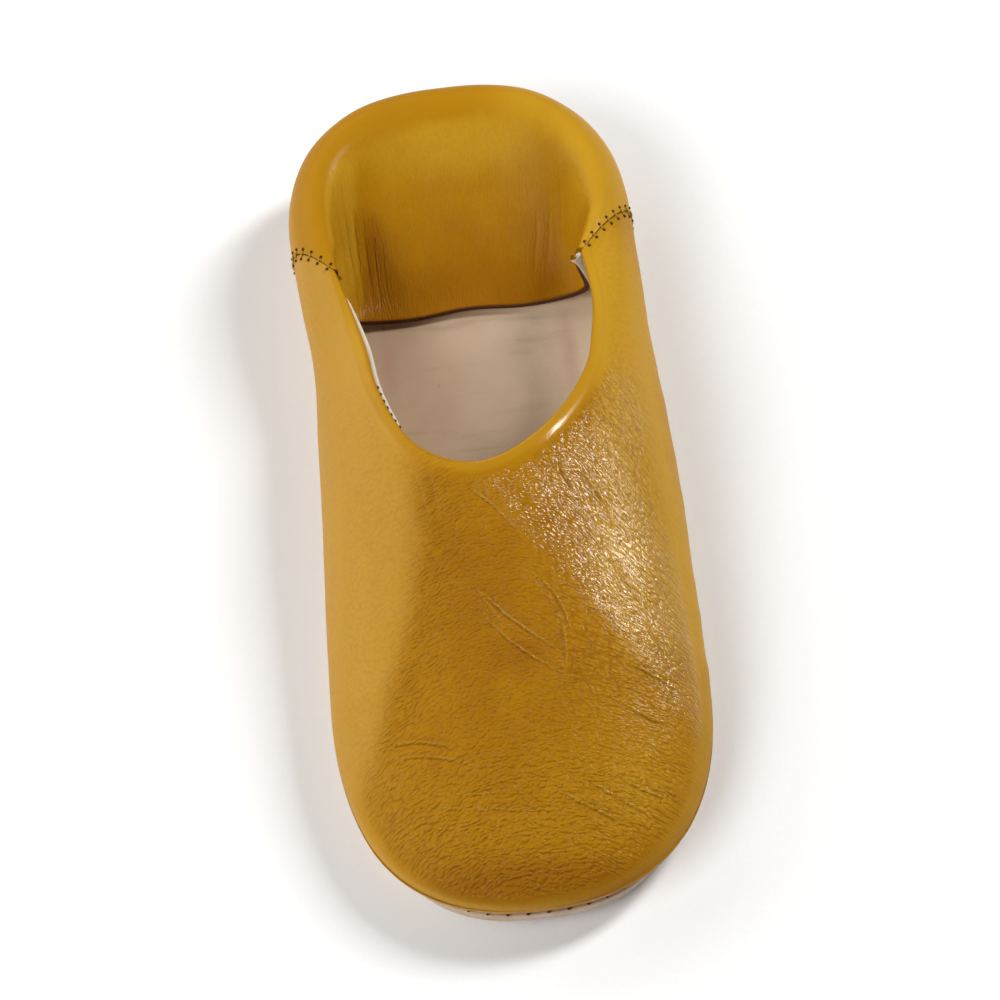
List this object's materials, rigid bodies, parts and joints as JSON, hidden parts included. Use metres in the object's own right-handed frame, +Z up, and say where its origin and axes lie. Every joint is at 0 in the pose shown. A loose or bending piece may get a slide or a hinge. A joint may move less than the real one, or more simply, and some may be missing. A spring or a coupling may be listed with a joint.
{
  "type": "babouche slipper",
  "caption": "Soft leather babouche slipper for the right foot: low rounded vamp open at the throat, heel folded down inside, flat leather sole with a slight toe rise.",
  "frame": {"origin": "middle of the shoe's plan, on the ground under the sole", "axes": "+Y from toe to heel, +X towards the big-toe side, +Z up"},
  "size_m": [0.1044, 0.2675, 0.0489],
  "materials": {
    "ochre_leather": "ochre full-grain leather, satin gloss, fine pebble grain with soft creases",
    "sole_leather": "natural tan sole leather, matt, with a pale cut edge",
    "insole_leather": "pale undyed lining leather, matt, lightly marked"
  },
  "bodies": {
    "root": {"outsole": "sole_leather", "insole": "insole_leather", "upper": "ochre_leather", "heel_quarter": "ochre_leather"}
  },
  "joints": []
}
